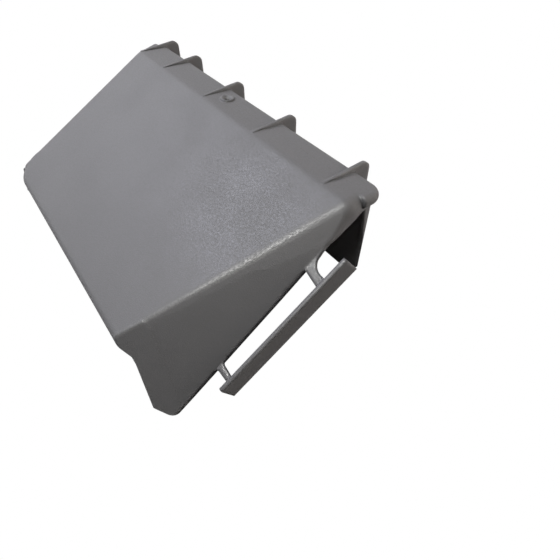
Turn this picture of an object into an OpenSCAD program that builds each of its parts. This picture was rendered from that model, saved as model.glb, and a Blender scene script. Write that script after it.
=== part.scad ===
// Storage compartment for a car: an open moulded wedge with a clip rail, guide ribs and a screw eye.
// Everything is drawn upright first: X runs along the width, with the rail at minus X, Y runs from
// the fold to the back, and the narrow band lies level at Z 0. The shell is then tipped back by the
// slope of its own rim, so that it stands on the table on its open side.

/* [Body] */
// Length of the sloping face from the fold to its back edge (mm)
face_length = 159.4; // [130:1:190]
// Angle between the face and the narrow band (degrees)
face_drop = 30.5; // [22:0.5:38]
// Distance from the middle rib to the rail end of the fold (mm)
rail_side_fold = 168.8; // [155:1:190]
// Distance from the middle rib to the rail end of the back edge (mm)
rail_side_back = 116.8; // [100:1:130]
// Distance from the middle rib to the plain end of the fold (mm)
plain_side_fold = 114.9; // [100:1:130]
// Distance from the middle rib to the plain end of the back edge (mm)
plain_side_back = 105.3; // [95:1:115]
// Width of the level band in front of the fold (mm)
band_width = 28.6; // [24:0.2:36]
// Set-back of the front wall under the edge of the band (mm)
front_step = 3.4; // [1:0.2:5]
// Height of the front wall (mm)
front_height = 69; // [55:1:80]
// Set-back of the back wall under the back edge (mm)
back_step = 5.4; // [2:0.2:8]
// Height of the back wall (mm)
back_height = 50.6; // [40:1:70]
// Inward lean of the front wall (degrees)
front_lean = 1; // [0:0.5:6]
// Inward lean of the back wall (degrees)
back_lean = 7; // [0:0.5:10]
// Thickness of every wall (mm)
wall = 3; // [2:0.25:4]

/* [Ends] */
// Angle by which the rail side turns down from the face (degrees)
rail_side_turn = 43.1; // [35:0.5:50]
// Angle by which the plain side turns down from the face (degrees)
plain_side_turn = 47.8; // [40:0.5:55]
// Distance from the middle rib to the nose at the open end (mm)
open_end = 168.4; // [160:1:185]
// Inward turn of the open end towards the back (degrees)
open_end_turn = 1.6; // [0:0.2:4]
// Rounding of the lower corner of the front wall at the open end (mm)
open_corner = 14; // [8:1:18]
// Reach of the plain side in front of the fold, along its crease (mm)
plain_reach = 21; // [12:1:26]

/* [Rounding] */
// Rounding of the fold between face and band (mm)
fold_round = 9; // [5:1:14]
// Rounding of the back edge (mm)
back_round = 5; // [4:0.5:8]
// Rounding of the front edge of the band (mm)
front_round = 4.4; // [3:0.2:6]
// Rounding of the upright edges at the back (mm)
side_round = 8; // [4:1:12]
// Rounding of the plain back corner of the face, seen from above (mm)
corner_round = 24; // [12:1:30]
// Rounding of the nose at the open end (mm)
nose_round = 10.5; // [7:0.5:14]

/* [Guide ribs] */
// Distance between the middle ribs (mm)
rib_pitch = 68; // [50:1:72]
// Distance from the plain end of the fold to the rib beside it (mm)
rib_plain_gap = 2.2; // [1.4:0.1:8]
// Distance from the nose at the open end to the rib beside it (mm)
rib_nose_gap = 26.8; // [20:0.2:40]
// Thickness of a rib (mm)
rib_thick = 2.4; // [1.6:0.2:4]
// Reach of a rib in front of the fold (mm)
rib_reach = 39.4; // [34:0.2:50]
// Rise of a rib's tip above the band (mm)
rib_rise = 4.4; // [3:0.2:12]
// Rounding of a rib's tip (mm)
rib_tip_round = 6.5; // [2:0.5:8]

/* [Clip rail] */
// Length of the rail (mm)
rail_length = 110; // [80:1:125]
// Height of the rail's section (mm)
rail_height = 12.9; // [8:0.5:16]
// Thickness of the rail's section (mm)
rail_thick = 3.6; // [2.4:0.2:5]
// Lean of the rail's section towards the body (degrees)
rail_lean = 11.5; // [0:0.5:25]
// Slope of the rail (degrees)
rail_slope = 42.3; // [36:0.5:48]
// Thickness of the two webs that hold the rail (mm)
web_thick = 2; // [1.5:0.25:3]

/* [Screw eye] */
// Outer diameter of the raised ring (mm)
eye_ring = 11.2; // [9:0.2:14]
// Mouth diameter of the countersink (mm)
eye_mouth = 8.4; // [7:0.2:8.8]
// Diameter of the screw hole (mm)
eye_hole = 4.4; // [3:0.2:5.4]
// Height of the raised ring above the band (mm)
eye_rise = 1.2; // [0.6:0.1:2]
// Depth of the boss under the band (mm)
eye_boss = 6; // [3:0.5:10]
// Distance from the middle rib to the eye, towards the rail (mm)
eye_side = 14.9; // [8:0.5:30]
// Distance from the fold to the eye, down the band (mm)
eye_front = 14.3; // [13.3:0.1:15.3]

/* [Plain side slits] */
// Width of the slit near the back (mm)
slit_back = 3; // [2:0.5:5]
// Width of the slit near the front (mm)
slit_front = 4; // [2:0.5:5]
// Depth of the arched recess in the tongue between the slits (mm)
tongue_arch = 20; // [5:1:26]

/* [Hidden] */
mould_grey = [0.27, 0.27, 0.28];
face_run = face_length * cos(face_drop);
face_fall = face_length * sin(face_drop);
back_foot_y = face_run - back_step - back_height * sin(back_lean);
back_foot_z = -face_fall - back_height * cos(back_lean);
front_foot_z = -front_height;
front_foot_y = -band_width + front_step + front_height * tan(front_lean);
rest_tilt = atan((front_foot_z - back_foot_z) / (back_foot_y - front_foot_y));
rest_drop = -(back_foot_y * sin(rest_tilt) + back_foot_z * cos(rest_tilt));
far = 500;

// A plane is a list: outward normal, then its distance from the middle of the fold.
face_plane = [[0, sin(face_drop), cos(face_drop)], 0];
band_plane = [[0, 0, 1], 0];
front_plane = [[0, -cos(front_lean), -sin(front_lean)], (band_width - front_step) * cos(front_lean)];
lip_plane = [[0, -1, 0], band_width];
back_normal = [0, cos(back_lean), -sin(back_lean)];
back_plane = [back_normal, back_normal * [0, face_run - back_step, -face_fall]];
side_edge_plane = [[0, 1, 0], face_run - back_step];
rim_normal = [0, -sin(rest_tilt), -cos(rest_tilt)];
rim_plane = [rim_normal, rest_drop];
low_plane = [rim_normal, rest_drop + 12];
open_normal = [-cos(open_end_turn), sin(open_end_turn), 0];
open_plane = [open_normal, open_end * cos(open_end_turn)];

// The two side planes turn down from the face about its creases.
rail_fold = [-rail_side_fold, 0, 0];
rail_back = [-rail_side_back, face_run, -face_fall];
plain_fold = [plain_side_fold, 0, 0];
plain_back = [plain_side_back, face_run, -face_fall];
rail_crease = unit(rail_back - rail_fold);
plain_crease = unit(plain_back - plain_fold);
rail_normal = face_plane[0] * cos(rail_side_turn) + cross(face_plane[0], rail_crease) * sin(rail_side_turn);
plain_normal = face_plane[0] * cos(plain_side_turn) + cross(plain_crease, face_plane[0]) * sin(plain_side_turn);
rail_plane = [rail_normal, rail_normal * rail_fold];
plain_plane = [plain_normal, plain_normal * plain_fold];

function unit(v) = v / norm(v);
// Point where three planes meet, each moved inwards by d.
function meet(p, q, r, d = 0) = ((p[1] - d) * cross(q[0], r[0]) + (q[1] - d) * cross(r[0], p[0])
    + (r[1] - d) * cross(p[0], q[0])) / (p[0] * cross(q[0], r[0]));
// Arc that rounds the corner b of the path a, b, c.
function bend(a, b, c, r) = let(
    u = unit(a - b),
    v = unit(c - b),
    h = acos(u * v) / 2,
    m = b + unit(u + v) * r / sin(h),
    s = b + u * r / tan(h) - m,
    e = b + v * r / tan(h) - m,
    t = atan2(s[0] * e[1] - s[1] * e[0], s * e))
    [for (i = [0:8]) m + [s[0] * cos(t * i / 8) - s[1] * sin(t * i / 8),
        s[0] * sin(t * i / 8) + s[1] * cos(t * i / 8)]];
// Outline with every corner rounded by its own radius, given as [x, y, radius].
function rounded(p) = [for (i = [0:len(p) - 1]) each (p[i][2] == 0 ? [flat(p[i])]
    : bend(flat(p[(i + len(p) - 1) % len(p)]), flat(p[i]), flat(p[(i + 1) % len(p)]), p[i][2]))];
function flat(v) = [v[0], v[1]];

// The rim of the rail side runs from its bend behind the nose down to its foot at the back.
rim_bend = meet([rail_normal, rail_plane[1] - 2.53], [open_normal, open_plane[1] + 1.8], [[0, 1, 0], 14.2]);
rim_foot = meet(rail_plane, side_edge_plane, rim_plane);
rim_out = unit(rail_normal + open_normal);
rail_middle = rim_bend + (rim_foot - rim_bend) * 0.352 + [-13.4, -4.25, -3.02];

// Middle of the standing part, seen from above.
plain_foot = meet(plain_plane, front_plane, rim_plane);
middle_x = (rail_middle[0] + plain_foot[0]) / 2 - 3.005;
middle_y = (back_foot_y * cos(rest_tilt) - back_foot_z * sin(rest_tilt) - rib_reach * cos(rest_tilt)
    - rib_rise * sin(rest_tilt)) / 2 + 2.909;

// Centres and radii of the rounded corners of the body: the skin is stretched over them.
nose_middle = [-open_end + nose_round, -band_width + nose_round, -front_round];
corners = [
    [meet(face_plane, back_plane, rail_plane, back_round), back_round],
    [meet(face_plane, back_plane, plain_plane, side_round), side_round],
    [meet(face_plane, band_plane, open_plane, fold_round), fold_round],
    [meet(face_plane, band_plane, plain_plane, fold_round), fold_round],
    [rim_bend - rim_out * 3.8, 3.8],
    [meet(band_plane, front_plane, [open_normal, open_plane[1] - 3], 8.4), 8.4],
    [meet(band_plane, front_plane, plain_plane, front_round), front_round],
    [meet(low_plane, front_plane, open_plane, 3.8), 3.8],
    [meet(low_plane, front_plane, plain_plane, 3.8), 3.8],
    [meet(low_plane, back_plane, rail_plane, side_round), side_round],
    [meet(low_plane, back_plane, plain_plane, side_round), side_round]];

// A solid stretched over rounded corners, inset by d on every side.
module skin(list, d) {
    hull() {
        for (c = list) {
            translate(c[0]) {
                sphere(r = c[1] - d, $fn = 28);
            }
        }
    }
}

// Rounded lip that carries the band out over the front wall and round the nose.
module lip() {
    difference() {
        union() {
            along_width(nose_middle[0], plain_side_fold - rib_plain_gap) {
                translate([-band_width + front_round, -front_round]) {
                    circle(r = front_round, $fn = 48);
                }
                translate([-band_width + front_round, -2 * front_round]) {
                    square([9, 2 * front_round]);
                }
            }
            translate(nose_middle) {
                rotate_extrude($fn = 64) {
                    translate([nose_round - front_round, 0]) {
                        circle(r = front_round, $fn = 48);
                    }
                }
                cylinder(h = 2 * front_round, r = nose_round - front_round, center = true, $fn = 64);
                translate([-nose_round + front_round, 0, 0]) {
                    rotate([-90, 0, 0]) {
                        cylinder(h = 7, r = front_round, $fn = 48);
                    }
                }
            }
        }
        outside(plain_plane);
    }
}

// Everything outside a plane, down to depth d inside it.
module outside(p, d = 0, thick = far) {
    multmatrix(facing(p[0] * (p[1] - d), [0, 1, 0], p[0])) {
        translate([-far, -far, 0]) {
            cube([2 * far, 2 * far, thick]);
        }
    }
}

// Axes on a plane: x runs down its slope, y along the given line, z out of it.
function facing(origin, along, normal) = let(
    z = unit(normal),
    y = unit(along - z * (along * z)),
    x = cross(y, z))
    [[x[0], y[0], z[0], origin[0]], [x[1], y[1], z[1], origin[1]], [x[2], y[2], z[2], origin[2]], [0, 0, 0, 1]];

// Outline of the back lip: a bar with a half-round free edge.
module lip_section() {
    translate([corner_round - back_round, -back_round]) {
        circle(r = back_round, $fn = 48);
    }
    translate([0, -2 * back_round]) {
        square([corner_round - back_round, 2 * back_round]);
    }
}

// Rounded lip that carries the face out over the back wall and round the plain back corner.
module back_lip() {
    bead_y = face_length - back_round * (1 - sin(face_drop)) / cos(face_drop);
    corner_middle = plain_side_back + 4.2 - corner_round;
    difference() {
        union() {
            rotate([-face_drop, 0, 0]) {
                along_width(-rail_side_back - 14, corner_middle) {
                    translate([bead_y + back_round - corner_round, 0]) {
                        lip_section();
                    }
                }
                translate([corner_middle, bead_y + back_round - corner_round, 0]) {
                    rotate_extrude($fn = 96) {
                        lip_section();
                    }
                }
            }
            along_width(-rail_side_back - 20, corner_middle) {
                translate([face_run - back_round, -face_fall - 2.85]) {
                    polygon([[-2, 0], [0.71 * back_round, -0.71 * back_round],
                        [0.71 * back_round - 5.8, -0.71 * back_round - 5.8], [-8, -0.71 * back_round - 5.8], [-8, 0]]);
                }
            }
        }
        outside(rail_plane);
        outside(plain_plane);
    }
}

// Removes a square corner b, between a and c, outside a rounding of radius r.
module corner_cut(a, b, c, r) {
    arc = bend(a, b, c, r);
    out = unit(b - arc[4]) * 40;
    polygon(concat(arc, [arc[8] + out, arc[0] + out]));
}

// Outline in Y and Z, stretched along X from x1 to x2.
module along_width(x1, x2) {
    translate([x1, 0, 0]) {
        rotate([90, 0, 90]) {
            linear_extrude(height = x2 - x1) {
                children();
            }
        }
    }
}

// Clear space at the open end, below the rim of the rail side and behind the front wall's edge.
module end_opening() {
    deep = rim_foot + (rim_foot - rim_bend);
    difference() {
        along_width(-far, -rail_side_fold + 20) {
            polygon([[14.4 - band_width, -10.2], [17.9 - band_width, -10], [rim_bend[1], rim_bend[2]],
                [deep[1], deep[2]], [far, -far], [front_foot_y + 3.6, -far],
                [front_foot_y + 3.6, -0.85 * front_height], [7.1 - band_width, -0.68 * front_height],
                [11.9 - band_width, -0.345 * front_height]]);
        }
        outside(back_plane, wall);
    }
}

// Rail side: x runs down its slope, y from its foot at the back towards the fold.
module on_rail_side() {
    multmatrix(facing(rim_foot, -rail_crease, rail_normal)) {
        children();
    }
}

// The rail side carries on past the back wall as a flat plate.
module rail_side_plate() {
    on_rail_side() {
        translate([0, 0, -wall]) {
            linear_extrude(height = wall) {
                polygon([[-61, 30], [-61, 12.1], [0, 0], [-7, 20]]);
            }
        }
    }
}

// Lower corner of the rail side at the back: a slanting edge between two roundings.
module rail_corner_cut() {
    on_rail_side() {
        translate([0, 0, -wall - 1.5]) {
            linear_extrude(height = 20) {
                polygon(rounded([[-10.3, 28.2, 0], [-4.6, 12.4, 7], [-17.4, 3.2, 3], [-30, 5.7, 0], [-30, -30, 0],
                    [30, -30, 0], [30, 28.2, 0]]));
            }
        }
    }
}

// Lower corner of the back wall, behind the corner of the rail side.
module back_corner_cut() {
    foot = meet(rail_plane, back_plane, rim_plane);
    up = [cos(66), sin(66)];
    difference() {
        translate([foot[0], foot[1] + 20, foot[2]]) {
            rotate([90, 0, 0]) {
                linear_extrude(height = 30) {
                    corner_cut(up * 60, [0, 0], [60, 0], 30);
                }
            }
        }
        outside(rail_plane, wall);
    }
}

// Rounded lower corner of the front wall, at the open end.
module front_corner_cut() {
    foot = meet(front_plane, rim_plane, open_plane);
    up = open_plane[0];
    translate([foot[0], front_foot_y + 4.5, foot[2]]) {
        rotate([90, 0, 0]) {
            linear_extrude(height = 40) {
                corner_cut([up[2] * 40, -up[0] * 40], [0, 0], [40, 0], open_corner);
            }
        }
    }
}

// The skin with its lips and side plates, emptied from below and trimmed to the rim.
module hollow_body() {
    difference() {
        union() {
            skin(corners, 0);
            lip();
            back_lip();
            rail_side_plate();
            plain_side_plate();
        }
        skin(corners, wall);
        outside(rim_plane);
        end_opening();
        rail_corner_cut();
        back_corner_cut();
        front_corner_cut();
        plain_side_cuts();
    }
}

// Plain side: x runs down its slope from the crease, y back along the crease from the fold.
module on_plain_side() {
    multmatrix(facing(plain_fold, plain_crease, plain_normal)) {
        children();
    }
}

// The plain side carries on past the back wall as a flat plate too.
module plain_side_plate() {
    edge = face_length - 4.5;
    difference() {
        on_plain_side() {
            translate([0, 0, -wall]) {
                linear_extrude(height = wall) {
                    polygon(rounded([[6, edge - 20, 0], [6, edge + 0.9, 0], [64.5, edge + 24.1, 8], [76, edge - 10, 0],
                        [60, edge - 20, 0]]));
                }
            }
        }
        translate([-far, side_edge_plane[1], -far]) {
            cube(2 * far);
        }
    }
}

// Two slits with round ends part a tongue from the side, and the tongue stops short in an arch.
module plain_side_cuts() {
    near = face_length - 54.4;
    on_plain_side() {
        translate([0, 0, -25]) {
            linear_extrude(height = 50) {
                polygon(rounded([[63, near + 0.4, 0], [60, near - 4, 2], [46, near - 19, 6],
                    [57 - tongue_arch, near / 2 + 13.5, 10], [48, 42, 8], [57, 28, 3], [64, 23.4, 2], [95, 7, 6],
                    [140, 0, 0], [140, near + 23, 0], [79, near + 23, 3]]));
            }
        }
        slit([21, near + 4], [66, near], slit_back);
        slit([24, 19.5], [66, 25.7], slit_front);
    }
}

// A slit right through a side, with rounded ends, between two points of that side.
module slit(from, to, width) {
    run = to - from;
    translate([from[0], from[1], -25]) {
        rotate([0, 0, atan2(run[1], run[0])]) {
            translate([0, -width / 2, 0]) {
                cube([norm(run), width, 50]);
            }
            cylinder(h = 50, d = width, $fn = 48);
        }
    }
}

// The plain side carries on as a flat plate in front of the front wall.
module front_plate() {
    difference() {
        on_plain_side() {
            translate([0, 0, -wall]) {
                linear_extrude(height = wall) {
                    polygon(rounded([[18, -12, 0], [28, -plain_reach, 5], [94, -plain_reach + 3, 7],
                        [95.5, 9, 3], [88, 12, 0], [12, -8, 0]]));
                }
            }
        }
        outside(rim_plane);
        outside(band_plane);
        skin(corners, wall);
    }
}

// One guide rib, seen from its side in Y and Z.
module rib(x) {
    tip_y = -rib_reach;
    along_width(x - rib_thick / 2, x + rib_thick / 2) {
        polygon(rounded([[-0.5, 0.1, 0], [tip_y, rib_rise, rib_tip_round], [tip_y - 3.8, -29, 0],
            [tip_y - 4.5, -0.56 * front_height, 4], [front_foot_y - 1, -0.84 * front_height, 0],
            [front_foot_y + 1.4, -0.84 * front_height, 0], [-band_width + 4.5, -front_round, 0],
            [-band_width + front_round + 2, -1.5, 0], [-0.5, -1.5, 0]]));
    }
}

// All five guide ribs, from the nose to the plain side.
module ribs() {
    for (x = [rib_nose_gap - open_end, -rib_pitch, 0, rib_pitch, plain_side_fold - rib_plain_gap]) {
        rib(x);
    }
}

// Clip rail, drawn lying along Z with its broad side upright.
module in_rail_frame() {
    translate(rail_middle) {
        rotate([90 - rail_slope, 0, 0]) {
            rotate([0, -2.84, 0]) {
                children();
            }
        }
    }
}

// The bar of the clip rail, with a rounded upper edge.
module rail() {
    in_rail_frame() {
        rotate([0, 0, -rail_lean]) {
            linear_extrude(height = rail_length, center = true) {
                translate([0, -rail_thick / 4]) {
                    square([rail_thick, rail_height - rail_thick / 2], center = true);
                }
                translate([0, rail_height / 2 - rail_thick / 2]) {
                    circle(d = rail_thick, $fn = 48);
                }
            }
        }
    }
}

// Two webs hold the rail off the rim of the rail side.
module webs() {
    end = rail_length / 2;
    in_rail_frame() {
        translate([0, 3.2 + web_thick / 2, 0]) {
            rotate([90, 0, 12]) {
                linear_extrude(height = web_thick) {
                    polygon(rounded([[0, end - 24, 0], [17, end - 20.4, 0], [17, end - 2.5, 0], [14.6, end - 3, 0],
                        [12.6, end - 16.6, 8], [0, end - 16.8, 0]]));
                    polygon(rounded([[0, 5.8 - end, 0], [13, 6.4 - end, 3], [13.4, 1 - end, 0], [17, 1 - end, 0],
                        [17, 17 - end, 0], [12.9, 16 - end, 0], [12.6, 11.4 - end, 3], [0, 9.6 - end, 0]]));
                }
            }
        }
    }
}

// Raised ring with a countersunk hole; a boss under the band carries the hole on.
module eye_body() {
    translate([-eye_side, -eye_front, -wall - eye_boss]) {
        cylinder(h = wall + eye_boss, d = eye_hole + 5, $fn = 64);
    }
    translate([-eye_side, -eye_front, -1]) {
        cylinder(h = 1 + eye_rise, d = eye_ring, $fn = 64);
    }
}

// The hole through the screw eye, with its countersink.
module eye_hole_cut() {
    sink = (eye_mouth - eye_hole) / 2;
    translate([-eye_side, -eye_front, -wall - eye_boss - 1]) {
        cylinder(h = wall + eye_boss + eye_rise + 2, d = eye_hole, $fn = 64);
    }
    translate([-eye_side, -eye_front, eye_rise - sink]) {
        cylinder(h = sink + 0.01, d1 = eye_hole, d2 = eye_mouth, $fn = 64);
    }
}

// The whole moulding, upright in the frame of its fold.
module upright_shell() {
    difference() {
        union() {
            hollow_body();
            front_plate();
            ribs();
            rail();
            webs();
            eye_body();
        }
        eye_hole_cut();
    }
}

// The whole moulding, tipped back onto its rim.
module shell() {
    color(mould_grey) {
        translate([-middle_x, -middle_y, rest_drop]) {
            rotate([rest_tilt, 0, 0]) {
                upright_shell();
            }
        }
    }
}

shell();
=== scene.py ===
# %% [markdown]
# # A moulded storage compartment
# The part is one plastic moulding, and its shape comes from the CAD model. This lesson gives it the
# finish of real moulded plastic, lights it plainly and looks at it from the photograph's place.
# We first load the CAD frame.

import bpy
from mathutils import Matrix, Vector

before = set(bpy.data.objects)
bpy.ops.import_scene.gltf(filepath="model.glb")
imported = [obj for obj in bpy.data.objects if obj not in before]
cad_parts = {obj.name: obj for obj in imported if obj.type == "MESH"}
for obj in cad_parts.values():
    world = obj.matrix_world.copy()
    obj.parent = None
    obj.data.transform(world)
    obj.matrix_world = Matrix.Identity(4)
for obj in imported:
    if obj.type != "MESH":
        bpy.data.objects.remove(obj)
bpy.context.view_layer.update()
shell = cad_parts["shell"]
bpy.ops.object.select_all(action="DESELECT")

# %% [markdown]
# ## The camera
# The photograph was taken from close by, so its perspective is strong, and the camera was rolled.
# Its place and axes were worked out from the object's own corners. Three axis vectors give a
# matrix directly, which avoids any guess at an order of rotations. The small shift moves the
# picture's middle without bending the perspective.

# %% Camera
camera_place = Vector((-0.292373, 0.031472, 0.280496))
camera_right = Vector((-0.564449, -0.772573, -0.290736))
camera_up = Vector((0.575965, -0.620907, 0.531731))
camera_back = Vector((-0.591321, 0.132681, 0.795446))
camera_axes = Matrix((camera_right, camera_up, camera_back)).transposed().to_4x4()

camera_data = bpy.data.cameras.new("camera")
camera_data.sensor_width = 36
camera_data.lens = 28.6793
camera_data.shift_x = 0.0702715
camera_data.shift_y = -0.0548354
camera_data.clip_start = 0.02
camera_data.clip_end = 20

camera = bpy.data.objects.new("camera", camera_data)
camera.matrix_world = Matrix.Translation(camera_place) @ camera_axes
bpy.context.scene.collection.objects.link(camera)
bpy.context.scene.camera = camera
print("camera at", [round(v, 3) for v in camera.location])

# %% [markdown]
# ## Small helpers for node trees
# Every finish here is a small tree of nodes. These helpers make one node at a time and join it up,
# so that the cells below read like the recipe that they are. A number becomes a value on the
# socket, and anything else is a link.

# %% Helpers that join nodes and do sums
def join(tree, value, socket):
    """Put a number or a colour on a socket, or link another node's output to it."""
    if isinstance(value, bpy.types.NodeSocket):
        tree.links.new(value, socket)
    else:
        socket.default_value = value


def math_node(tree, operation, first, second=0.0, third=0.0, clamp=False):
    """A Math node whose inputs are sockets or numbers."""
    node = tree.nodes.new("ShaderNodeMath")
    node.operation = operation
    node.use_clamp = clamp
    for value, socket in zip((first, second, third), node.inputs):
        join(tree, value, socket)
    return node.outputs[0]


def product(tree, first, *others):
    """Masks and numbers multiplied together."""
    for other in others:
        first = math_node(tree, "MULTIPLY", first, other)
    return first


def inverse(tree, mask):
    """One minus a mask: full where the mask is empty."""
    return math_node(tree, "SUBTRACT", 1.0, mask)


def vector_node(tree, operation, first, second=(0, 0, 0)):
    """A Vector Math node whose inputs are sockets or triples of numbers."""
    node = tree.nodes.new("ShaderNodeVectorMath")
    node.operation = operation
    join(tree, first, node.inputs[0])
    join(tree, second, node.inputs[1])
    return node.outputs["Value" if operation in ("DOT_PRODUCT", "LENGTH") else "Vector"]


print("helpers for joining and sums ready")

# %% [markdown]
# ## Helpers for textures and mixes
# A finish also needs uneven values, spans of values and colours in between. Map Range does the work
# of a colour ramp with four plain numbers, and one Mix helper serves colours and directions alike.

# %% Helpers for textures and mixes
def noise_node(tree, vector, scale, detail):
    """A noise texture on the given coordinates, with its strength as a value from 0 to 1."""
    node = tree.nodes.new("ShaderNodeTexNoise")
    node.inputs["Detail"].default_value = detail
    join(tree, vector, node.inputs["Vector"])
    join(tree, scale, node.inputs["Scale"])
    return node.outputs["Fac"]


def ramp_node(tree, value, low, high, low_out=0.0, high_out=1.0):
    """A Map Range node: the span from low to high becomes the span from low_out to high_out."""
    node = tree.nodes.new("ShaderNodeMapRange")
    node.clamp = True
    spans = {"From Min": low, "From Max": high, "To Min": low_out, "To Max": high_out}
    for name, number in spans.items():
        node.inputs[name].default_value = number
    join(tree, value, node.inputs["Value"])
    return node.outputs["Result"]


def mix_node(tree, factor, first, second, kind="RGBA"):
    """A colour, or a vector, between two others, by a factor from 0 to 1."""
    node = tree.nodes.new("ShaderNodeMix")
    node.data_type = kind
    join(tree, factor, node.inputs["Factor"])
    join(tree, first, node.inputs["A"])
    join(tree, second, node.inputs["B"])
    return node.outputs["Result"]


print("helpers for textures and mixes ready")

# %% [markdown]
# ## Helpers for groups and empty trees
# A node group is a recipe with named inputs and outputs, which any material can use with its own
# numbers. The masks of this part are made that way. Materials and the world start from an empty
# tree, so that nothing in them is left over from a default.

# %% Helpers for groups and trees
def new_group(name, inputs, outputs):
    """A shader node group with named sockets, each input given as (name, kind, value)."""
    group = bpy.data.node_groups.new(name, "ShaderNodeTree")
    for label, kind, value in inputs:
        made = group.interface.new_socket(label, in_out="INPUT", socket_type=kind)
        if value is not None:
            made.default_value = value
    for label, kind in outputs:
        group.interface.new_socket(label, in_out="OUTPUT", socket_type=kind)
    return group, group.nodes.new("NodeGroupInput"), group.nodes.new("NodeGroupOutput")


def place_group(tree, group, **values):
    """Put a group into a tree, with its inputs given by name, and underscores for spaces."""
    node = tree.nodes.new("ShaderNodeGroup")
    node.node_tree = group
    for name, value in values.items():
        join(tree, value, node.inputs[name.replace("_", " ")])
    return node


def empty_tree(owner, output_kind):
    """The emptied node tree of a material or a world, and a new output node in it."""
    owner.use_nodes = True
    owner.node_tree.nodes.clear()
    return owner.node_tree, owner.node_tree.nodes.new(output_kind)


print("helpers for groups ready")

# %% [markdown]
# ## Grain of the mould
# Such parts come out of an etched mould, so the plastic has a fine pebbled grain that breaks a
# highlight into sparkles. It could be a picture, but noise on Object coordinates needs no file and
# keeps one scale all over the part. A node group holds it, so that every finish can use it with
# its own size. Height is the relief, and Speckle says which grains shine.

# %% Node group for the grain
pebble_softness = 0.6
fine_ratio, fine_detail, fine_share = 2.2, 2, 0.6
clump_ratio, clump_detail = 0.58, 1
dull_sum, shiny_sum = 0.75, 1.25

grain_group, grain_in, grain_out = new_group(
    "mould_grain",
    [("Coordinates", "NodeSocketVector", None), ("Grains per metre", "NodeSocketFloat", 1500.0)],
    [("Height", "NodeSocketFloat"), ("Speckle", "NodeSocketFloat")],
)
place, grains = grain_in.outputs["Coordinates"], grain_in.outputs["Grains per metre"]
pebbles = grain_group.nodes.new("ShaderNodeTexVoronoi")
pebbles.feature = "SMOOTH_F1"
pebbles.inputs["Smoothness"].default_value = pebble_softness
join(grain_group, place, pebbles.inputs["Vector"])
join(grain_group, grains, pebbles.inputs["Scale"])

fine_scale = product(grain_group, grains, fine_ratio)
clump_scale = product(grain_group, grains, clump_ratio)
fine = noise_node(grain_group, place, fine_scale, fine_detail)
clumps = noise_node(grain_group, place, clump_scale, clump_detail)
fine_height = product(grain_group, fine, fine_share)
height = math_node(grain_group, "ADD", fine_height, pebbles.outputs["Distance"])
both = math_node(grain_group, "ADD", fine, clumps)
speckle = ramp_node(grain_group, both, dull_sum, shiny_sum)
join(grain_group, height, grain_out.inputs["Height"])
join(grain_group, speckle, grain_out.inputs["Speckle"])
print("group", grain_group.name, "has", len(grain_group.nodes), "nodes")

# %% [markdown]
# ## Edges and inner corners
# Handling polishes the outer edges of such a part, and leaves its inner corners dull. The Bevel
# node gives the normal that a rounded edge would have, and where that differs from the true one
# there is an edge. The colour makes these edges paler, which is partly wear and partly a painted
# highlight. The Ambient Occlusion node finds the inner corners, where shade falls, and there the
# edge doesn't count as worn. The colour darkens these corners, which is painted shade. The group
# hands out the soft normal too.

# %% Node group for edges and corners
level_cosine, edge_cosine = 0.998, 0.93
corner_reach = 0.005
open_share, closed_share = 0.75, 0.35

edge_group, edge_in, edge_out = new_group(
    "edges_and_corners",
    [("Radius", "NodeSocketFloat", 0.003), ("Breakup", "NodeSocketFloat", 0.5)],
    [
        ("Wear and highlight", "NodeSocketFloat"),
        ("Corner shade", "NodeSocketFloat"),
        ("Soft normal", "NodeSocketVector"),
    ],
)
soft = edge_group.nodes.new("ShaderNodeBevel")
soft.samples = 8
join(edge_group, edge_in.outputs["Radius"], soft.inputs["Radius"])
true_normal = edge_group.nodes.new("ShaderNodeNewGeometry").outputs["True Normal"]
agree = vector_node(edge_group, "DOT_PRODUCT", soft.outputs["Normal"], true_normal)
turned = ramp_node(edge_group, agree, level_cosine, edge_cosine)

inner = edge_group.nodes.new("ShaderNodeAmbientOcclusion")
inner.samples = 8
inner.only_local = True
inner.inputs["Distance"].default_value = corner_reach
# This inner-corner mask measures where shade falls; the colour paints that shade in as dark
# corners.
corner_shade = ramp_node(edge_group, inner.outputs["AO"], open_share, closed_share)

open_edge = product(edge_group, turned, inverse(edge_group, corner_shade))
# The edge mask makes edges paler in the colour: partly wear, partly a painted highlight.
worn_and_highlit = math_node(edge_group, "MULTIPLY", open_edge, edge_in.outputs["Breakup"], clamp=True)
join(edge_group, worn_and_highlit, edge_out.inputs["Wear and highlight"])
join(edge_group, corner_shade, edge_out.inputs["Corner shade"])
join(edge_group, soft.outputs["Normal"], edge_out.inputs["Soft normal"])
print("group", edge_group.name, "has", len(edge_group.nodes), "nodes")

# %% [markdown]
# ## Start of the plastic
# The whole moulding is one grey plastic, so one material covers it. A Principled shader carries it,
# with a weak reflection, because etched plastic scatters most of it. Both groups go into its tree,
# and the cells after this one turn their masks into colour, roughness and relief.

# %% Plastic material with the two groups
grains_per_metre = 1350.0
edge_radius = 0.003

plastic = bpy.data.materials.new("moulded_plastic")
tree, output = empty_tree(plastic, "ShaderNodeOutputMaterial")
skin = tree.nodes.new("ShaderNodeBsdfPrincipled")
skin.inputs["IOR"].default_value = 1.5
skin.inputs["Specular IOR Level"].default_value = 0.25
join(tree, skin.outputs["BSDF"], output.inputs["Surface"])
coordinates = tree.nodes.new("ShaderNodeTexCoord").outputs["Object"]

grain = place_group(tree, grain_group, Coordinates=coordinates, Grains_per_metre=grains_per_metre)
height, speckle = grain.outputs["Height"], grain.outputs["Speckle"]
least_edge_breakup = 0.35
breakup = ramp_node(tree, speckle, 0.2, 0.8, least_edge_breakup, 1.0)
edges = place_group(tree, edge_group, Radius=edge_radius, Breakup=breakup)
print("material", plastic.name, "has both groups")
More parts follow.
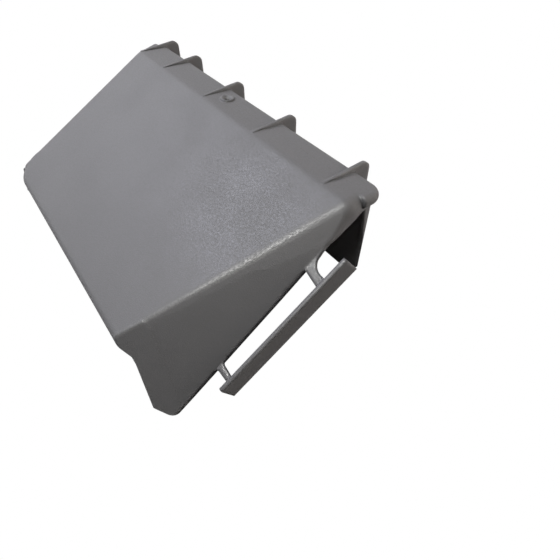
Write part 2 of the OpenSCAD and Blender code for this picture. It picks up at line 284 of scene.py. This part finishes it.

# %% [markdown]
# ## The painted highlight on the crease
# The crease between the face and the rail side is the part's most handled edge. Along it a broken
# pale line, strongest near the nose, is painted into the colour as a highlight, and the same mask
# polishes the crease in the roughness. It could be painted on by hand, but a line in Object
# coordinates, in metres, is exact and stays readable. Distance from the line makes a narrow band,
# travel along it lets the band fade towards the back, and the speckle breaks it into flecks.

# %% Mask for the crease's painted highlight
crease_nose = Vector((-0.16481, -0.06708, 0.07293))
crease_back = Vector((-0.11281, 0.09078, 0.05082))
crease_way = (crease_back - crease_nose).normalized()
band_outside, band_inside = 0.0026, 0.0011
fade_start, fade_end, faint = 0.030, 0.115, 0.12
least_fleck = 0.20

from_nose = vector_node(tree, "SUBTRACT", coordinates, crease_nose)
travel = vector_node(tree, "DOT_PRODUCT", from_nose, crease_way)
beside = vector_node(tree, "LENGTH", vector_node(tree, "CROSS_PRODUCT", from_nose, crease_way))
near_crease = ramp_node(tree, beside, band_outside, band_inside)
by_nose = ramp_node(tree, travel, fade_end, fade_start, faint, 1.0)
flecks = ramp_node(tree, speckle, 0.25, 0.60, least_fleck, 1.0)
# This crease mask paints a pale highlight into the colour, and polishes the crease in the
# roughness.
crease_polish_and_painted_highlight = product(tree, near_crease, by_nose, flecks)
print("crease is", round((crease_back - crease_nose).length, 3), "m long")

# %% [markdown]
# ## A flat side stays flat
# The rail side is one flat plane on the real moulding, but its CAD solid is joined from a skin and
# a plate. The Bevel node would shade the seam between them as an edge, which the real part doesn't
# have. Cutting the mesh isn't a choice, because the CAD shape stays as it is. So a mask finds the
# side: close to its plane, inside its rim, and clear of the crease and the part by the nose. There
# the edge mask, with its paler edges that are partly wear and partly a painted highlight, and the
# painted corner shade are off, and the Relief cell takes the side's own normal. Each margin is a
# pair of distances in metres, between which the mask fades in.

# %% Mask for the flat rail side
side_normal = Vector((-0.649583, 0.311123, 0.693718))
side_distance, side_depth = 0.136777, 0.0016
rim_inward, rim_distance = Vector((0.758833, 0.208829, 0.616898)), -0.09911
rim_margin = (rim_distance + 0.0010, rim_distance + 0.0022)
crease_margin = (0.0040, 0.0070)
nose_margin = (0.050, 0.060)

side_height = vector_node(tree, "DOT_PRODUCT", coordinates, side_normal)
on_side = math_node(tree, "COMPARE", side_height, side_distance, side_depth)
past_rim = vector_node(tree, "DOT_PRODUCT", coordinates, rim_inward)
inside_rim = ramp_node(tree, past_rim, *rim_margin)
clear_of_crease = ramp_node(tree, beside, *crease_margin)
clear_of_nose = ramp_node(tree, travel, *nose_margin)
flat = product(tree, on_side, inside_rim, clear_of_crease, clear_of_nose)

uneven = inverse(tree, flat)
# Edges and crease together: wear and polish, and the highlights painted into the colour.
wear_and_highlight = math_node(tree, "MAXIMUM", product(tree, edges.outputs["Wear and highlight"], uneven), crease_polish_and_painted_highlight)
# Painted shade in the inner corners, left off on the flat side.
corner_shade = product(tree, edges.outputs["Corner shade"], uneven)
print("rail side faces", [round(v, 2) for v in side_normal])

# %% [markdown]
# ## Colour
# The grey drifts a little over hand-sized patches, as the flow of the plastic leaves it. Over that
# come thin layers, from the most common to the rarest: paler grains, paler edges that are partly
# wear and partly a painted highlight, a painted highlight along the crease, and painted shade in
# the inner corners. Each layer is one mask, one strength and one tone, so a loop lays them.

# %% Colour layers
flow_scale, flow_detail = 9.0, 3
flow_dark, flow_light = (0.222, 0.220, 0.226, 1), (0.246, 0.245, 0.250, 1)
colour_layers = (
    (speckle, 0.20, (0.27, 0.27, 0.30, 1)),
    # paler edges: partly wear, partly a painted highlight
    (wear_and_highlight, 0.55, (0.36, 0.36, 0.37, 1)),
    # painted highlight along the crease
    (crease_polish_and_painted_highlight, 0.85, (0.80, 0.80, 0.78, 1)),
    # painted shade: dark inner corners
    (corner_shade, 0.90, (0.04, 0.04, 0.04, 1)),
)

flow = noise_node(tree, coordinates, flow_scale, flow_detail)
colour = mix_node(tree, flow, flow_dark, flow_light)
for mask, strength, tone in colour_layers:
    colour = mix_node(tree, product(tree, mask, strength), colour, tone)
join(tree, colour, skin.inputs["Base Color"])
print("colour has", len(colour_layers), "layers over the flow")

# %% [markdown]
# ## Roughness
# Etched plastic is dull, yet single grains shine, and fingers leave faint smudges. Roughness
# follows the same speckle and edge masks as the colour, so an edge shines where its colour is
# paler. That paler colour is partly wear and partly a painted highlight.

# %% Roughness
dull, shiny = 0.70, 0.44
smudge_scale, smudge_detail = 26.0, 4
smudge_shiny, smudge_dull = -0.05, 0.04
polish = 0.34

grain_rough = ramp_node(tree, speckle, 0.0, 1.0, dull, shiny)
smears = noise_node(tree, coordinates, smudge_scale, smudge_detail)
smudges = ramp_node(tree, smears, 0.35, 0.7, smudge_shiny, smudge_dull)
rough = math_node(tree, "ADD", grain_rough, smudges)
polished = math_node(tree, "SUBTRACT", rough, product(tree, wear_and_highlight, polish), clamp=True)
join(tree, polished, skin.inputs["Roughness"])
print("roughness from", shiny, "to", dull)

# %% [markdown]
# ## Relief
# The grain stands about a tenth of a millimetre high, and rubbing has flattened it on the edges.
# That is too fine for geometry, so a Bump node carries it. It starts from the soft normal, which
# rounds the edges in the light, or from the plain normal of the flat side.

# %% Relief
relief_strength, grain_height = 0.4, 0.00012
flattened = 0.7

relief = tree.nodes.new("ShaderNodeBump")
relief.inputs["Strength"].default_value = relief_strength
relief.inputs["Distance"].default_value = grain_height
left_standing = inverse(tree, product(tree, wear_and_highlight, flattened))
facing = mix_node(tree, flat, edges.outputs["Soft normal"], side_normal, kind="VECTOR")
join(tree, product(tree, height, left_standing), relief.inputs["Height"])
join(tree, facing, relief.inputs["Normal"])
join(tree, relief.outputs["Normal"], skin.inputs["Normal"])

for slot in shell.material_slots:
    slot.material = plastic
print("plastic on", shell.name, "in", len(shell.material_slots), "slot(s)")

# %% [markdown]
# ## Helpers for the white ground
# The photograph has a plain white ground. Light Path tells a shader which ray is asking, so a
# surface can be plain white for the camera and still behave as a real one for the light.

# %% Helpers for what is seen
def seen_rays(tree):
    """Two masks: 1 for rays from the camera, and 1 for rays off a mirror or through glass."""
    path = tree.nodes.new("ShaderNodeLightPath")
    glossy, through = path.outputs["Is Glossy Ray"], path.outputs["Is Transmission Ray"]
    return path.outputs["Is Camera Ray"], math_node(tree, "MAXIMUM", glossy, through)


def mix_shader(tree, factor, first, second, target):
    """A Mix Shader between two shaders, joined to the target socket."""
    choose = tree.nodes.new("ShaderNodeMixShader")
    for value, socket in zip((factor, first, second), choose.inputs):
        join(tree, value, socket)
    join(tree, choose.outputs["Shader"], target)


print("helpers for the ground ready")

# %% [markdown]
# ## Floor
# The floor is a real surface that takes the part's shadow, and only the camera sees it as plain
# white. It throws little light back up, which keeps the part's underside dark, but it is pale in
# reflections, as paper is.

# %% Floor
floor_size = 6
just_below = -0.0005
lit_paper, mirrored_paper = (0.16, 0.15, 0.14, 1), (0.9, 0.9, 0.9, 1)

bpy.ops.mesh.primitive_plane_add(size=floor_size, location=(0, 0, just_below))
floor = bpy.context.object
floor.name = "floor"
bpy.ops.object.transform_apply(location=True, rotation=False, scale=False)
white = bpy.data.materials.new("white_ground")
tree, output = empty_tree(white, "ShaderNodeOutputMaterial")
from_camera, mirrored = seen_rays(tree)
paper = tree.nodes.new("ShaderNodeBsdfDiffuse")
ground = mix_node(tree, mirrored, lit_paper, mirrored_paper)
join(tree, ground, paper.inputs["Color"])
glow = tree.nodes.new("ShaderNodeEmission")
glow.inputs["Color"].default_value = (1, 1, 1, 1)
paper_light, plain_white = paper.outputs["BSDF"], glow.outputs["Emission"]
mix_shader(tree, from_camera, paper_light, plain_white, output.inputs["Surface"])
floor.data.materials.append(white)
print("floor", floor_size, "m wide")

# %% [markdown]
# ## World
# A faint warm light from all round stands for the room. The camera and the reflections see plain
# white instead, so the picture's ground stays white above the floor's edge too.

# %% World
room_light, room_colour = 0.05, (1.0, 0.94, 0.88, 1)

world = bpy.data.worlds.new("studio")
bpy.context.scene.world = world
tree, output = empty_tree(world, "ShaderNodeOutputWorld")
ambient = tree.nodes.new("ShaderNodeBackground")
ambient.inputs["Color"].default_value = room_colour
ambient.inputs["Strength"].default_value = room_light
blank = tree.nodes.new("ShaderNodeBackground")
blank.inputs["Color"].default_value = (1, 1, 1, 1)
seen = math_node(tree, "MAXIMUM", *seen_rays(tree))
room, plain_white = ambient.outputs["Background"], blank.outputs["Background"]
mix_shader(tree, seen, room, plain_white, output.inputs["Surface"])
bpy.context.scene.view_settings.view_transform = "Standard"
print("world", world.name, "made")

# %% [markdown]
# ## Lamps
# In the photograph the light comes from high on the plain side. It makes the face the lightest
# plane, with the band close to it, and leaves the rail side dark. One softbox does that, slightly
# cool as daylight is, and a weak warm fill keeps the rail side and the ribs readable. Two small
# lamps show only in reflections, so they add no shadow of their own. One makes the patch of
# sparkles on the face, and the other makes the polished crease shine, beside the pale highlight
# painted into its colour.

# %% Lamps
aim = Vector((0, 0, 0.04))


def softbox(name, place, size, power, colour, only_reflected=False):
    """A square area lamp turned towards the part, with its size in metres and power in watts."""
    data = bpy.data.lights.new(name, "AREA")
    data.size = size
    data.energy = power
    data.color = colour
    lamp = bpy.data.objects.new(name, data)
    lamp.location = place
    lamp.rotation_euler = (aim - Vector(place)).to_track_quat("-Z", "Y").to_euler()
    lamp.visible_diffuse = not only_reflected
    bpy.context.scene.collection.objects.link(lamp)


softbox("key", (0.98, 0.06, 1.24), 1.2, 18.5, (0.97, 0.965, 1.0))
softbox("sheen", (0.47, 0.02, 0.88), 0.16, 8.2, (0.80, 0.83, 1.0), only_reflected=True)
softbox("fill", (-0.69, -0.75, 0.13), 0.5, 4.3, (1.0, 0.93, 0.86))
softbox("glint", (-0.31, 0.19, 0.94), 0.14, 38.0, (1.0, 1.0, 0.97), only_reflected=True)
print("lamps", [light.name for light in bpy.data.lights])
